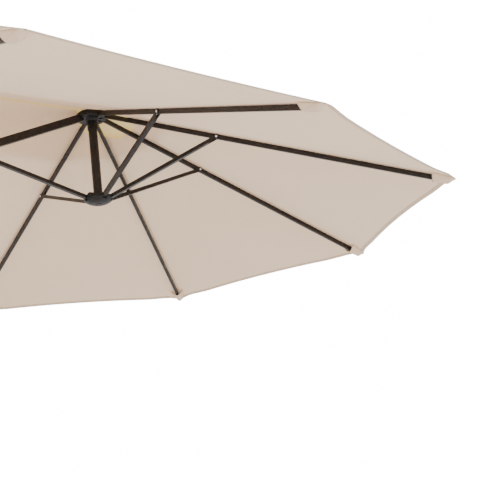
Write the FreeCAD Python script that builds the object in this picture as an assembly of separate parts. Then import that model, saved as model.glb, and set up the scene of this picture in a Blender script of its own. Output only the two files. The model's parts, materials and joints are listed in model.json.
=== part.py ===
"""Twin-head cantilever parasol: a cross base, a mast with a bent arm, and a level ridge frame whose
two heads and centre hub carry twelve folding ribs under one oblong canopy.

Millimetres, +Z up. The origin is on the ground, on the mast's axis. The ridge runs along X, and the
canopy hangs on the -Y side of the mast. "Near" parts are on the -Y side of the ridge, "far" on +Y.
"""
import FreeCAD, Part
import math
import os

# Canopy frame
HUB_Z = 2400.0            # height of the ribs' pivots
CANOPY_Y = -1650.0        # the ridge's distance from the mast
HEAD_X = 940.0            # each head's distance from the middle of the ridge
PIVOT_R = 42.0            # pivots' distance from their hub's axis
HEAD_DROOP = 21.0         # slope of the heads' ribs when open, degrees
HEAD_LINK = 478.0         # rib pivot to strut joint, and strut joint to strut foot
HEAD_REACH = 1350.0       # head axis to canopy corner
CENTRE_DROOP = 19.5
CENTRE_LINK = 659.0
CENTRE_REACH = 1425.0

# Ribs and struts
RIB_WIDTH = 12.0
RIB_DEPTH = 18.0
RIB_WALL = 1.2
RIB_HEEL = 8.0            # what a rib has beyond its pivot
RIB_SHORT = 40.0          # from the rib's plug to the canopy's corner
PLUG_LENGTH = 18.0
STRUT_WIDTH = 16.0
STRUT_DEPTH = 14.0
STRUT_WALL = 1.5
STRUT_HEEL = 6.0
FORK_LENGTH = 40.0        # from the joint, where the strut's web starts to rise between its cheeks
RAMP_END = 20.5           # and where it ends, clear of the rib at both ends of its travel
RAMP_RISE = 8.5
EYE_R = 9.6               # the cheeks' round ends on either side of the rib
PIN_R = 2.0
PIN_HOLE_R = 2.05
RIVET_HEAD_R = 4.3
RIVET_HEAD_H = 1.6

# Hubs, posts and dishes
POST_R = 17.5
POST_WALL = 1.6
HUB_R = 60.0
HUB_TOP = 17.0
HUB_BOTTOM = -12.0
HUB_NECK_R = 20.5
HUB_NECK_BOTTOM = -55.0
RIB_SLOT = 12.8
SLOT_CLEAR = 12.6         # room for a rib's heel to turn
HUB_PIN_HALF = 12.0
DISH_R = 57.0
DISH_TOP = 8.0
DISH_DEPTH = 20.0
DISH_SOCKET_R = 17.9
STRUT_SLOT = 16.8
DISH_CLEAR = 9.6          # room for a strut's heel to turn
DISH_PIN_HALF = 13.0
DISH_CAP_R = 13.5
DISH_CAP_H = 3.0

# Ridge beams and their braces
BEAM_WIDTH = 20.0
BEAM_DEPTH = 30.0
BEAM_WALL = 1.5
BEAM_SLOPE = 22.9
BEAM_START_R = 44.0
BEAM_START_Z = -8.0
BEAM_END_R = 910.0
BEAM_HUB_R = 46.0
BEAM_HUB_HALF = 29.0
BRACE_JOINT_R = 470.0
BRACE_LUG_DROP = 10.0     # brace pin below the beam's underside
LUG_WIDTH = 12.0
BRACE_SLOT = 14.0         # room for the lug in the brace's foot
POST_COLLAR_R = 21.0

# Canopy
CANOPY_RISE = 11.25       # cloth above a rib's centre line
CANOPY_THICK = 1.5
RIDGE_GAP = 8.0           # half the slit between the near and far cloth along the ridge
VENT_R = 128.0            # round opening in the main canopy over each head
VENT_SHIFT = 45.0         # its middle lies this far beyond the head
POST_OPENING_R = 75.0     # round opening over the centre hub
SCALLOP = 18.0            # how far each gore's hem bows inwards
MIDDLE_SCALLOP = 9.0      # and each hem beside the centre rib
CAP_R = 300.0
CAP_LIFT = 15.0
CAP_HOLE_R = 24.0

# Mast and arm
TUBE_R = 25.0
TUBE_WALL = 2.5
MAST_BOTTOM = 46.0
MAST_TOP = 1900.0
BEND_Z = 1958.0
BEND_R = 500.0
BEND_TURN = 85.0
CLAMP_SIDE = 76.0
CLAMP_HEIGHT = 100.0
COLLAR_R = 29.0
COLLAR_LENGTH = 90.0
SPIGOT_LENGTH = 160.0

# Crank
CRANK_Z = 1250.0
CRANK_Y = 62.0
HOUSING_X = 84.0
HOUSING_Y = (-36.0, 98.0)
HOUSING_Z = 112.0
HOUSING_WALL = 4.0
SHAFT_R = 6.0
SHAFT_HOLE_R = 6.06
DRUM_R = 20.0
DRUM_HALF = 26.0
CRANK_THROW = 120.0
CRANK_PLATE_X = (54.0, 62.0)
KNOB_PIN_R = 4.0
KNOB_R = 13.0
KNOB_LENGTH = 76.0

# Base
BAR_HALF = 465.0
BAR_WIDTH = 60.0
BAR_Z = (8.0, 38.0)
BAR_WALL = 3.0
TAB_START = 440.0
TAB_END = 515.0
ANCHOR_R = 490.0
ANCHOR_HOLE_R = 6.0
FLANGE_R = 105.0
FLANGE_THICK = 8.0
SOCKET_R = 32.0
SOCKET_TOP = 320.0
WEIGHT_INNER = 6.0
WEIGHT_OUTER = 455.0
WEIGHT_HEIGHT = 100.0
WEIGHT_GAP = 12.0         # between a weight and the mast's flange

ORIGIN = FreeCAD.Vector(0, 0, 0)
X_AXIS = FreeCAD.Vector(1, 0, 0)
Y_AXIS = FreeCAD.Vector(0, 1, 0)
Z_AXIS = FreeCAD.Vector(0, 0, 1)
SIDES = (("right", 1), ("left", -1))
HEAD_RIBS = (("far", 90), ("far_corner", 45), ("end", 0), ("near_corner", -45), ("near", -90))


def vec(x, y, z):
    return FreeCAD.Vector(x, y, z)


def export(name, *solids):
    """One STEP file per named piece; several solids stay separate inside it."""
    shape = solids[0] if len(solids) == 1 else Part.makeCompound(list(solids))
    shape.exportStep(os.path.join("parts", name + ".step"))


def block(low, high):
    size = [b - a for a, b in zip(low, high)]
    return Part.makeBox(*size, vec(*low))


def cross_pin(x, z, radius, half):
    """A round pin along Y."""
    return Part.makeCylinder(radius, 2 * half, vec(x, -half, z), Y_AXIS)


def rounded(shape, radius, along):
    """Rounds the straight edges of a box that run along one axis."""
    edges = [e for e in shape.Edges if abs((e.lastVertex().Point - e.firstVertex().Point)
                                           .normalize().dot(along)) > 0.999]
    return shape.makeFillet(radius, edges)


def put(shape, head_x=0.0, turn=0.0, radius=0.0, height=0.0, droop=0.0):
    """Tilts a member in its radial plane, turns it about its hub and sets it in the frame."""
    placed = shape.copy()
    placed.rotate(ORIGIN, Y_AXIS, droop)
    placed.translate(vec(radius, 0, height))
    placed.rotate(ORIGIN, Z_AXIS, turn)
    placed.translate(vec(head_x, CANOPY_Y, HUB_Z))
    return placed


def turn_of(side, angle):
    return angle if side > 0 else 180 - angle


def drop_of(link, droop):
    """How far the strut feet sit below the rib pivots when open."""
    return 2 * link * math.sin(math.radians(droop))


def revolved(points):
    """A solid of revolution about Z from an outline of points in the X-Z plane."""
    wire = Part.makePolygon([vec(x, 0, z) for x, z in points + points[:1]])
    return Part.Face(wire).revolve(ORIGIN, Z_AXIS, 360)


def ring(outer, inner, bottom, top):
    tube = Part.makeCylinder(outer, top - bottom, vec(0, 0, bottom))
    return tube.cut(Part.makeCylinder(inner, top - bottom, vec(0, 0, bottom)))


# ---------------------------------------------------------------- ribs and struts

def rib(link, reach, droop):
    """A rectangular tube along X with its pivot at the origin, its end plugs and its rivet."""
    length = (reach - PIVOT_R) / math.cos(math.radians(droop)) - RIB_SHORT
    half_w = RIB_WIDTH / 2
    half_d = RIB_DEPTH / 2
    body = rounded(block((-RIB_HEEL, -half_w, -half_d), (length, half_w, half_d)), 2.0, X_AXIS)
    bore = block((-RIB_HEEL, RIB_WALL - half_w, RIB_WALL - half_d),
                 (length, half_w - RIB_WALL, half_d - RIB_WALL))
    tube = body.cut(bore).cut(cross_pin(0, 0, PIN_HOLE_R, RIB_WIDTH))
    rivet_line = cross_pin(link, 0, PIN_R, RIB_WIDTH)
    tube = tube.cut(rivet_line)
    heel_plug = bore.common(block((-RIB_HEEL, -half_w, -half_d), (PLUG_LENGTH, half_w, half_d)))
    heel_plug = heel_plug.cut(cross_pin(0, 0, PIN_HOLE_R, RIB_WIDTH))
    tip_plug = bore.common(block((length - PLUG_LENGTH, -half_w, -half_d), (length, half_w, half_d)))
    tip_cap = rounded(block((length, -half_w, -half_d), (length + 3, half_w, half_d)), 2.0, X_AXIS)
    shank = STRUT_WIDTH / 2 + 0.1
    rivet = cross_pin(link, 0, PIN_R, shank + RIVET_HEAD_H)
    for side in (-1, 1):
        head = Part.makeCylinder(RIVET_HEAD_R, RIVET_HEAD_H, vec(link, side * shank, 0), vec(0, side, 0))
        rivet = rivet.fuse(head)
    return tube, heel_plug, tip_plug.fuse(tip_cap), rivet.removeSplitter()


def strut(link):
    """A channel along X, open upwards, with its foot pivot at the origin and a fork at its far end."""
    half_w = STRUT_WIDTH / 2
    half_d = STRUT_DEPTH / 2
    gap = half_w - STRUT_WALL
    body = block((-STRUT_HEEL, -half_w, -half_d), (link + STRUT_HEEL + 2, half_w, half_d))
    body = rounded(body, STRUT_HEEL - 0.5, Y_AXIS)
    body = body.cut(block((-20, -gap, STRUT_WALL - half_d), (link + 20, gap, half_d)))
    body = body.cut(block((link - FORK_LENGTH, -gap, -half_d), (link + 20, gap, half_d)))
    start = link - FORK_LENGTH
    end = link - RAMP_END
    profile = [(start, -half_d), (end, RAMP_RISE - half_d), (end, RAMP_RISE + STRUT_WALL - half_d),
               (start, STRUT_WALL - half_d)]
    wire = Part.makePolygon([vec(x, -half_w, z) for x, z in profile + profile[:1]])
    ramp = Part.Face(wire).extrude(vec(0, STRUT_WIDTH, 0))
    body = body.fuse(ramp).removeSplitter()
    body = body.cut(cross_pin(0, 0, PIN_HOLE_R, STRUT_WIDTH))
    return body.cut(cross_pin(link, 0, PIN_HOLE_R, STRUT_WIDTH))


def rib_strut(link):
    """A strut whose cheeks end in round eyes that clasp the rib."""
    half_w = STRUT_WIDTH / 2
    eyes = cross_pin(link, 0, EYE_R, half_w).cut(cross_pin(link, 0, EYE_R + 1, half_w - STRUT_WALL))
    eyes = eyes.cut(cross_pin(link, 0, PIN_HOLE_R, STRUT_WIDTH))
    return strut(link).fuse(eyes).removeSplitter()


def export_ribs():
    head_rib = rib(HEAD_LINK, HEAD_REACH, HEAD_DROOP)
    head_strut = rib_strut(HEAD_LINK)
    head_drop = drop_of(HEAD_LINK, HEAD_DROOP)
    for side_name, side in SIDES:
        for name, angle in HEAD_RIBS:
            turn = turn_of(side, angle)
            x = side * HEAD_X
            solids = [put(s, x, turn, PIVOT_R, 0, HEAD_DROOP) for s in head_rib]
            export(f"rib_{side_name}_{name}", *solids)
            foot = put(head_strut, x, turn, PIVOT_R, -head_drop, -HEAD_DROOP)
            export(f"strut_{side_name}_{name}", foot)
    centre_rib = rib(CENTRE_LINK, CENTRE_REACH, CENTRE_DROOP)
    centre_strut = rib_strut(CENTRE_LINK)
    centre_drop = drop_of(CENTRE_LINK, CENTRE_DROOP)
    for name, turn in (("near", -90), ("far", 90)):
        solids = [put(s, 0, turn, PIVOT_R, 0, CENTRE_DROOP) for s in centre_rib]
        export(f"rib_centre_{name}", *solids)
        foot = put(centre_strut, 0, turn, PIVOT_R, -centre_drop, -CENTRE_DROOP)
        export(f"strut_centre_{name}", foot)


# ---------------------------------------------------------------- hubs, posts and dishes

def hub(turns):
    """A plastic crown round the post, with one downward slot for each rib."""
    body = revolved([(POST_R, HUB_NECK_BOTTOM), (HUB_NECK_R, HUB_NECK_BOTTOM), (HUB_NECK_R, -20),
                     (27, HUB_BOTTOM), (HUB_R - 3, HUB_BOTTOM), (HUB_R, HUB_BOTTOM + 3),
                     (HUB_R, 9), (HUB_R - 5, 13.8), (30, HUB_TOP), (POST_R, HUB_TOP)])
    slot = block((PIVOT_R - SLOT_CLEAR, -RIB_SLOT / 2, -30), (HUB_R + 5, RIB_SLOT / 2, 12.8))
    pin = cross_pin(PIVOT_R, 0, PIN_R, HUB_PIN_HALF)
    pins = []
    for turn in turns:
        here = slot.copy()
        here.rotate(ORIGIN, Z_AXIS, turn)
        body = body.cut(here)
        this_pin = pin.copy()
        this_pin.rotate(ORIGIN, Z_AXIS, turn)
        body = body.cut(this_pin)
        pins.append(this_pin)
    return body, pins


def dish(turns, open_slot=None):
    """The shallow bowl that the struts' feet are pinned in. Its pivots are at height 0."""
    underside = Part.Arc(vec(0, 0, -DISH_DEPTH), vec(40, 0, -15), vec(DISH_R, 0, -3)).toShape()
    rest = [(DISH_R, -3), (DISH_R, DISH_TOP - 2), (DISH_R - 2, DISH_TOP), (DISH_SOCKET_R, DISH_TOP),
            (DISH_SOCKET_R, -12), (0, -12), (0, -DISH_DEPTH)]
    edges = [underside]
    for a, b in zip(rest, rest[1:]):
        edges.append(Part.LineSegment(vec(a[0], 0, a[1]), vec(b[0], 0, b[1])).toShape())
    body = Part.Face(Part.Wire(edges)).revolve(ORIGIN, Z_AXIS, 360)
    slot = block((PIVOT_R - DISH_CLEAR, -STRUT_SLOT / 2, -DISH_CLEAR), (DISH_R + 5, STRUT_SLOT / 2, 20))
    pin = cross_pin(PIVOT_R, 0, PIN_R, DISH_PIN_HALF)
    pins = []
    for turn in turns:
        here = slot.copy()
        here.rotate(ORIGIN, Z_AXIS, turn)
        body = body.cut(here)
        this_pin = pin.copy()
        this_pin.rotate(ORIGIN, Z_AXIS, turn)
        body = body.cut(this_pin)
        pins.append(this_pin)
    if open_slot is not None:
        here = slot.copy()
        here.rotate(ORIGIN, Z_AXIS, open_slot)
        body = body.cut(here)
    cap = Part.makeCylinder(DISH_CAP_R, DISH_CAP_H + 3, vec(0, 0, -DISH_DEPTH - DISH_CAP_H))
    cap = cap.makeFillet(2.0, [e for e in cap.Edges if e.BoundBox.ZMax < -DISH_DEPTH - DISH_CAP_H + 0.1])
    return [body, cap.cut(body), *pins]


def brace_lug(drop):
    """A collar on the post's foot whose tongue reaches into the dish's open slot. It points along +X."""
    collar = ring(POST_COLLAR_R, POST_R, DISH_TOP + 2 - drop, DISH_TOP + 16 - drop)
    outline = [(POST_COLLAR_R - 1, DISH_TOP + 2), (34, DISH_TOP + 2), (34, -7), (49, -7),
               (49, DISH_TOP + 6), (41, DISH_TOP + 16), (POST_COLLAR_R - 1, DISH_TOP + 16)]
    wire = Part.makePolygon([vec(x, -LUG_WIDTH / 2, z - drop) for x, z in outline + outline[:1]])
    tongue = Part.Face(wire).extrude(vec(0, LUG_WIDTH, 0))
    lug = collar.fuse(tongue).removeSplitter()
    return lug.cut(cross_pin(PIVOT_R, -drop, PIN_R, LUG_WIDTH))


def beam_line(radius):
    """Height of the beam's centre line at a distance from the head's axis."""
    return BEAM_START_Z - (radius - BEAM_START_R) * math.tan(math.radians(BEAM_SLOPE))


def beam():
    """The ridge beam along +X from its head, sloping down to the beam hub, and its solid outer form."""
    length = (BEAM_END_R - BEAM_START_R) / math.cos(math.radians(BEAM_SLOPE))
    half_w = BEAM_WIDTH / 2
    half_d = BEAM_DEPTH / 2
    form = rounded(block((0, -half_w, -half_d), (length, half_w, half_d)), 3.0, X_AXIS)
    bore = block((0, BEAM_WALL - half_w, BEAM_WALL - half_d),
                 (length, half_w - BEAM_WALL, half_d - BEAM_WALL))
    return form.cut(bore), form


def brace_parts(drop):
    """The brace from the post's lug to the bracket under the beam, the bracket and two pins."""
    half_d = BEAM_DEPTH / 2 / math.cos(math.radians(BEAM_SLOPE))
    joint_z = beam_line(BRACE_JOINT_R) - half_d - BRACE_LUG_DROP
    run = BRACE_JOINT_R - PIVOT_R
    rise = joint_z + drop
    link = math.hypot(run, rise)
    angle = math.degrees(math.atan2(rise, run))
    cheek = STRUT_WIDTH / 2 - STRUT_WALL
    bar = strut(link).cut(block((-20, -cheek, -20), (BRACE_SLOT, cheek, 0)))
    foot_pin = cross_pin(0, 0, PIN_R, STRUT_WIDTH / 2 + 0.3)
    joint_pin = cross_pin(link, 0, PIN_R, STRUT_WIDTH / 2 + 2)
    pieces = []
    for shape in (bar, foot_pin, joint_pin):
        placed = shape.copy()
        placed.rotate(ORIGIN, Y_AXIS, -angle)
        placed.translate(vec(PIVOT_R, 0, -drop))
        pieces.append(placed)
    reach = 11
    top_in = beam_line(BRACE_JOINT_R - 24) - half_d
    top_out = beam_line(BRACE_JOINT_R + 14) - half_d
    outline = [(BRACE_JOINT_R - 24, top_in), (BRACE_JOINT_R + 14, top_out),
               (BRACE_JOINT_R + reach, joint_z - 5), (BRACE_JOINT_R - 6, joint_z - 6)]
    wire = Part.makePolygon([vec(x, -LUG_WIDTH / 2, z) for x, z in outline + outline[:1]])
    bracket = Part.Face(wire).extrude(vec(0, LUG_WIDTH, 0))
    bracket = bracket.cut(cross_pin(BRACE_JOINT_R, joint_z, PIN_R, LUG_WIDTH))
    return pieces, bracket


def export_heads():
    drop = drop_of(HEAD_LINK, HEAD_DROOP)
    beam_tube, beam_form = beam()
    brace_pieces, bracket = brace_parts(drop)
    post = ring(POST_R, POST_R - POST_WALL, -drop - 11, HUB_TOP)
    post = post.fuse(Part.makeCylinder(POST_R - POST_WALL, 3, vec(0, 0, HUB_TOP - 3)))
    lug = brace_lug(drop)
    hub_pins = []
    beams = []
    braces = []
    for side_name, side in SIDES:
        x = side * HEAD_X
        inward = 180 if side > 0 else 0
        turns = [turn_of(side, angle) for _, angle in HEAD_RIBS]
        crown, pins = hub(turns)
        socket = beam_form.copy()
        socket.rotate(ORIGIN, Y_AXIS, BEAM_SLOPE)
        socket.translate(vec(BEAM_START_R, 0, BEAM_START_Z))
        socket.rotate(ORIGIN, Z_AXIS, inward)
        export(f"head_hub_{side_name}", put(crown.cut(socket), x))
        hub_pins += [put(p, x) for p in pins]
        export(f"head_post_{side_name}", put(post, x), put(lug, x, inward))
        bowl = dish(turns, inward)
        export(f"dish_{side_name}", *[put(s, x, 0, 0, -drop) for s in bowl])
        beams.append(put(beam_tube, x, inward, BEAM_START_R, BEAM_START_Z, BEAM_SLOPE))
        beams.append(put(bracket, x, inward))
        braces += [put(s, x, inward) for s in brace_pieces]
    export("ridge_beams", *beams)
    export("beam_braces", *braces)
    return hub_pins


def export_centre(hub_pins):
    drop = drop_of(CENTRE_LINK, CENTRE_DROOP)
    crown, pins = hub([-90, 90])
    export("centre_hub", put(crown))
    export("rib_pivot_pins", *hub_pins, *[put(p) for p in pins])
    beam_z = beam_line(BEAM_END_R)
    body = ring(BEAM_HUB_R, POST_R, beam_z - BEAM_HUB_HALF, beam_z + BEAM_HUB_HALF)
    for side_name, side in SIDES:
        form = beam()[1]
        form.rotate(ORIGIN, Y_AXIS, BEAM_SLOPE)
        form.translate(vec(BEAM_START_R, 0, BEAM_START_Z))
        form.rotate(ORIGIN, Z_AXIS, 180 if side > 0 else 0)
        form.translate(vec(side * HEAD_X, 0, 0))
        body = body.cut(form)
    export("beam_hub", put(body))
    export("centre_runner", *[put(s, 0, 0, 0, -drop) for s in dish([-90, 90])])
    arm_z = arm_end_height() - HUB_Z
    post = ring(POST_R, POST_R - POST_WALL, -drop - 11, arm_z + CLAMP_HEIGHT / 2)
    export("centre_post", put(post))


# ---------------------------------------------------------------- canopy

def prism(points):
    """A sheet panel: a flat outline thickened upwards."""
    corners = [vec(*p) for p in points]
    face = Part.Face(Part.makePolygon(corners + corners[:1]))
    return face.extrude(vec(0, 0, CANOPY_THICK))


def cloth_top(droop, lift):
    """Height of the cloth above a hub's axis, where the rib lines meet."""
    slope = math.radians(droop)
    return HUB_Z + PIVOT_R * math.tan(slope) + CANOPY_RISE / math.cos(slope) + lift


def on_rib(head_x, turn, radius, droop, lift=0.0):
    """The point of the cloth over a rib, at a distance from its hub's axis."""
    z = cloth_top(droop, lift) - radius * math.tan(math.radians(droop))
    angle = math.radians(turn)
    return (head_x + radius * math.cos(angle), CANOPY_Y + radius * math.sin(angle), z)


def in_gore(head_x, middle, along, lift=0.0):
    """A point on the middle line of a gore between two of a head's ribs."""
    fall = along / math.cos(math.radians(22.5)) * math.tan(math.radians(HEAD_DROOP))
    angle = math.radians(middle)
    return (head_x + along * math.cos(angle), CANOPY_Y + along * math.sin(angle),
            cloth_top(HEAD_DROOP, lift) - fall)


def vent_reach(angle):
    """From a head's axis to the edge of its vent, at an angle from the ridge's outward direction."""
    turn = math.radians(angle)
    across = VENT_SHIFT * math.sin(turn)
    return VENT_SHIFT * math.cos(turn) + math.sqrt(VENT_R ** 2 - across ** 2)


def half_gore(side, angle, toward):
    """Half of the gore beside a rib, on the side of the next rib at angle + 45 * toward."""
    x = side * HEAD_X
    middle = turn_of(side, angle + 22.5 * toward)
    turn = turn_of(side, angle)
    hem = HEAD_REACH * math.cos(math.radians(22.5)) - SCALLOP
    return prism([on_rib(x, turn, vent_reach(angle), HEAD_DROOP),
                  on_rib(x, turn, HEAD_REACH, HEAD_DROOP), in_gore(x, middle, hem),
                  in_gore(x, middle, vent_reach(angle + 22.5 * toward))])


def middle_panel(side, turn):
    """The cloth between a head and the centre, on one side of the ridge, as three flat pieces."""
    inner = on_rib(0, turn, RIDGE_GAP, CENTRE_DROOP)
    outer = on_rib(0, turn, CENTRE_REACH, CENTRE_DROOP)
    head_inner = on_rib(side * HEAD_X, turn, RIDGE_GAP, HEAD_DROOP)
    head_outer = on_rib(side * HEAD_X, turn, HEAD_REACH, HEAD_DROOP)
    way = 1 if turn > 0 else -1
    bow = MIDDLE_SCALLOP * math.tan(math.radians(HEAD_DROOP))
    middle = ((outer[0] + head_outer[0]) / 2, (outer[1] + head_outer[1]) / 2 - way * MIDDLE_SCALLOP,
              (outer[2] + head_outer[2]) / 2 + bow)
    vent_x = side * (HEAD_X + VENT_SHIFT)
    vent = Part.makeCylinder(VENT_R, 300, vec(vent_x, CANOPY_Y, HUB_Z - 100))
    post_opening = Part.makeCylinder(POST_OPENING_R, 300, vec(0, CANOPY_Y, HUB_Z - 100))
    triangles = ([inner, head_inner, head_outer], [inner, head_outer, middle], [inner, middle, outer])
    return [prism(t).cut(vent).cut(post_opening) for t in triangles]


def export_canopy():
    for name, turn in (("near", -90), ("far", 90)):
        toward = 1 if turn < 0 else -1
        panels = []
        for _, side in SIDES:
            panels += middle_panel(side, turn)
            panels.append(half_gore(side, turn, toward))
        export(f"canopy_{name}_panel", *panels)
    for side_name, side in SIDES:
        for name, angle in HEAD_RIBS[1:4]:
            export(f"canopy_{side_name}_{name}", half_gore(side, angle, -1), half_gore(side, angle, 1))
    export_vent_cap()


def export_vent_cap():
    """The raised cap over the canopy's vent, with a hole for the centre post."""
    pieces = []
    centre_top = (0, CANOPY_Y, cloth_top(HEAD_DROOP, CAP_LIFT))
    for _, side in SIDES:
        x = side * HEAD_X
        top = (x, CANOPY_Y, cloth_top(HEAD_DROOP, CAP_LIFT))
        corners = [on_rib(x, turn_of(side, a), CAP_R, HEAD_DROOP, CAP_LIFT) for _, a in HEAD_RIBS]
        for one, other in zip(corners, corners[1:]):
            pieces.append(prism([top, one, other]))
        for turn, corner in ((90, corners[0]), (-90, corners[-1])):
            centre_corner = on_rib(0, turn, CAP_R, HEAD_DROOP, CAP_LIFT)
            pieces.append(prism([centre_top, top, corner, centre_corner]))
    hole = Part.makeCylinder(CAP_HOLE_R, 200, vec(0, CANOPY_Y, HUB_Z - 50))
    export("vent_cap", *[p.cut(hole) for p in pieces])


# ---------------------------------------------------------------- mast, arm and crank

def arm_rise():
    return 90 - BEND_TURN


def arm_end_height():
    """Height of the arm's centre line at the centre post."""
    bend = math.radians(BEND_TURN)
    bend_y = -BEND_R + BEND_R * math.cos(bend)
    bend_z = BEND_Z + BEND_R * math.sin(bend)
    return bend_z + (bend_y - CANOPY_Y) * math.tan(math.radians(arm_rise()))


def round_pipe(radius):
    """The arm's form at one radius: a short upright, the bend and the straight run."""
    upright = Part.makeCylinder(radius, BEND_Z - MAST_TOP, vec(0, 0, MAST_TOP))
    face = Part.Face(Part.Wire(Part.makeCircle(radius, vec(0, 0, BEND_Z), Z_AXIS)))
    bend = face.revolve(vec(0, -BEND_R, BEND_Z), X_AXIS, BEND_TURN)
    angle = math.radians(BEND_TURN)
    start = vec(0, -BEND_R + BEND_R * math.cos(angle), BEND_Z + BEND_R * math.sin(angle))
    along = vec(0, -math.sin(angle), math.cos(angle))
    length = (start.y - CANOPY_Y) / math.sin(angle)
    straight = Part.makeCylinder(radius, length, start, along)
    return upright.fuse(bend).fuse(straight).removeSplitter()


def export_mast():
    bore_r = TUBE_R - TUBE_WALL
    mast = ring(TUBE_R, bore_r, MAST_BOTTOM, MAST_TOP)
    export("mast", mast)
    half = CLAMP_SIDE / 2
    arm_z = arm_end_height()
    clamp_space = block((-half, CANOPY_Y - half, arm_z - 80), (half, CANOPY_Y + half, arm_z + 80))
    arm = round_pipe(TUBE_R).cut(round_pipe(bore_r)).cut(clamp_space)
    export("arm", arm)
    export("arm_spigot", ring(bore_r, bore_r - 3, MAST_TOP - SPIGOT_LENGTH / 2, BEND_Z - 2))
    export("arm_collar", ring(COLLAR_R, TUBE_R, MAST_TOP - COLLAR_LENGTH / 2, MAST_TOP + COLLAR_LENGTH / 2))
    clamp = block((-half, CANOPY_Y - half, arm_z - CLAMP_HEIGHT / 2),
                  (half, CANOPY_Y + half, arm_z + CLAMP_HEIGHT / 2))
    clamp = rounded(clamp, 10.0, Z_AXIS)
    clamp = clamp.cut(Part.makeCylinder(POST_R, 300, vec(0, CANOPY_Y, arm_z - 150)))
    lid = Part.makeCylinder(30, 6, vec(0, CANOPY_Y, arm_z + CLAMP_HEIGHT / 2))
    lid = lid.makeFillet(3, [e for e in lid.Edges if e.BoundBox.ZMin > arm_z + CLAMP_HEIGHT / 2 + 5])
    export("arm_end_clamp", clamp, lid)


def export_crank():
    half_x = HOUSING_X / 2
    low_z = CRANK_Z - HOUSING_Z / 2
    high_z = CRANK_Z + HOUSING_Z / 2
    outer = block((-half_x, HOUSING_Y[0], low_z), (half_x, HOUSING_Y[1], high_z))
    outer = rounded(outer, 12.0, Z_AXIS)
    wall = HOUSING_WALL
    inner = block((wall - half_x, HOUSING_Y[0] + wall, low_z + wall),
                  (half_x - wall, HOUSING_Y[1] - wall, high_z - wall))
    inner = rounded(inner, 8.0, Z_AXIS)
    mast_form = Part.makeCylinder(TUBE_R, 400, vec(0, 0, CRANK_Z - 200))
    shaft_hole = Part.makeCylinder(SHAFT_HOLE_R, 60, vec(0, CRANK_Y, CRANK_Z), X_AXIS)
    export("crank_housing", outer.cut(inner).cut(mast_form).cut(shaft_hole))
    plate_in, plate_out = CRANK_PLATE_X
    drum = Part.makeCylinder(DRUM_R - 6, 2 * DRUM_HALF, vec(-DRUM_HALF, CRANK_Y, CRANK_Z), X_AXIS)
    for end in (-DRUM_HALF, DRUM_HALF - 3):
        drum = drum.fuse(Part.makeCylinder(DRUM_R, 3, vec(end, CRANK_Y, CRANK_Z), X_AXIS))
    export("winch_drum", drum.removeSplitter())
    shaft = Part.makeCylinder(SHAFT_R, plate_in - DRUM_HALF, vec(DRUM_HALF, CRANK_Y, CRANK_Z), X_AXIS)
    plate = block((plate_in, CRANK_Y - 11, CRANK_Z - CRANK_THROW - 11),
                  (plate_out, CRANK_Y + 11, CRANK_Z + 13))
    plate = rounded(plate, 10.0, X_AXIS)
    knob_pin = Part.makeCylinder(KNOB_PIN_R, KNOB_LENGTH + 1, vec(plate_out, CRANK_Y, CRANK_Z - CRANK_THROW),
                                 X_AXIS)
    pin_head = Part.makeCylinder(7, 2, vec(plate_out + KNOB_LENGTH + 1, CRANK_Y, CRANK_Z - CRANK_THROW),
                                 X_AXIS)
    export("crank_handle", shaft.fuse(plate).fuse(knob_pin).fuse(pin_head).removeSplitter())
    knob = Part.makeCylinder(KNOB_R, KNOB_LENGTH - 0.6,
                             vec(plate_out + 0.5, CRANK_Y, CRANK_Z - CRANK_THROW), X_AXIS)
    knob = knob.makeFillet(4, [e for e in knob.Edges if e.Curve.TypeId == "Part::GeomCircle"])
    bore = Part.makeCylinder(KNOB_PIN_R + 0.06, KNOB_LENGTH + 10,
                             vec(plate_out - 2, CRANK_Y, CRANK_Z - CRANK_THROW), X_AXIS)
    export("crank_knob", knob.cut(bore))


# ---------------------------------------------------------------- base

def bar_tube(low, high, across):
    """A rectangular tube between two corners, hollow along one axis."""
    inner_low = [a + (0 if i == across else BAR_WALL) for i, a in enumerate(low)]
    inner_high = [b - (0 if i == across else BAR_WALL) for i, b in enumerate(high)]
    return block(low, high).cut(block(inner_low, inner_high))


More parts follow.
